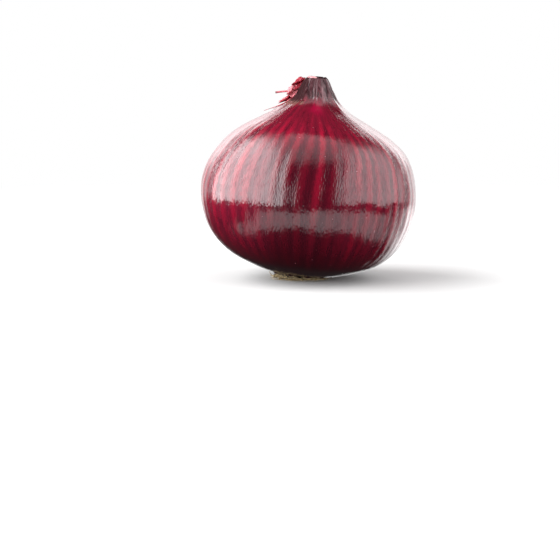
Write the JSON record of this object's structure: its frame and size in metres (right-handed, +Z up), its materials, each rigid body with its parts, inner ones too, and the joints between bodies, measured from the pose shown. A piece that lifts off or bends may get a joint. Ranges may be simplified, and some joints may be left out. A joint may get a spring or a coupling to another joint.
{
  "type": "red onion",
  "caption": "Whole red onion standing on its root plate, with veined glossy skin, a dry cut neck, torn skin beside it and dried roots.",
  "frame": {"origin": "middle of the flat foot of the root plate, on the surface that the onion stands on", "axes": "+Z up out of that surface, +X the way that the bulb leans and the neck stands off, +Y away from the viewer in the picture"},
  "size_m": [0.0781, 0.0784, 0.073],
  "materials": {
    "onion_skin": "glossy with pale veins and fine ridges",
    "dry_leaf_ends": "matt",
    "torn_skin": "satin, papery",
    "dried_roots": "matt"
  },
  "bodies": {
    "root": {"bulb": "onion_skin", "cut_leaf_ends": "dry_leaf_ends", "torn_neck_skin": "torn_skin", "root_tuft": "dried_roots"}
  },
  "joints": []
}
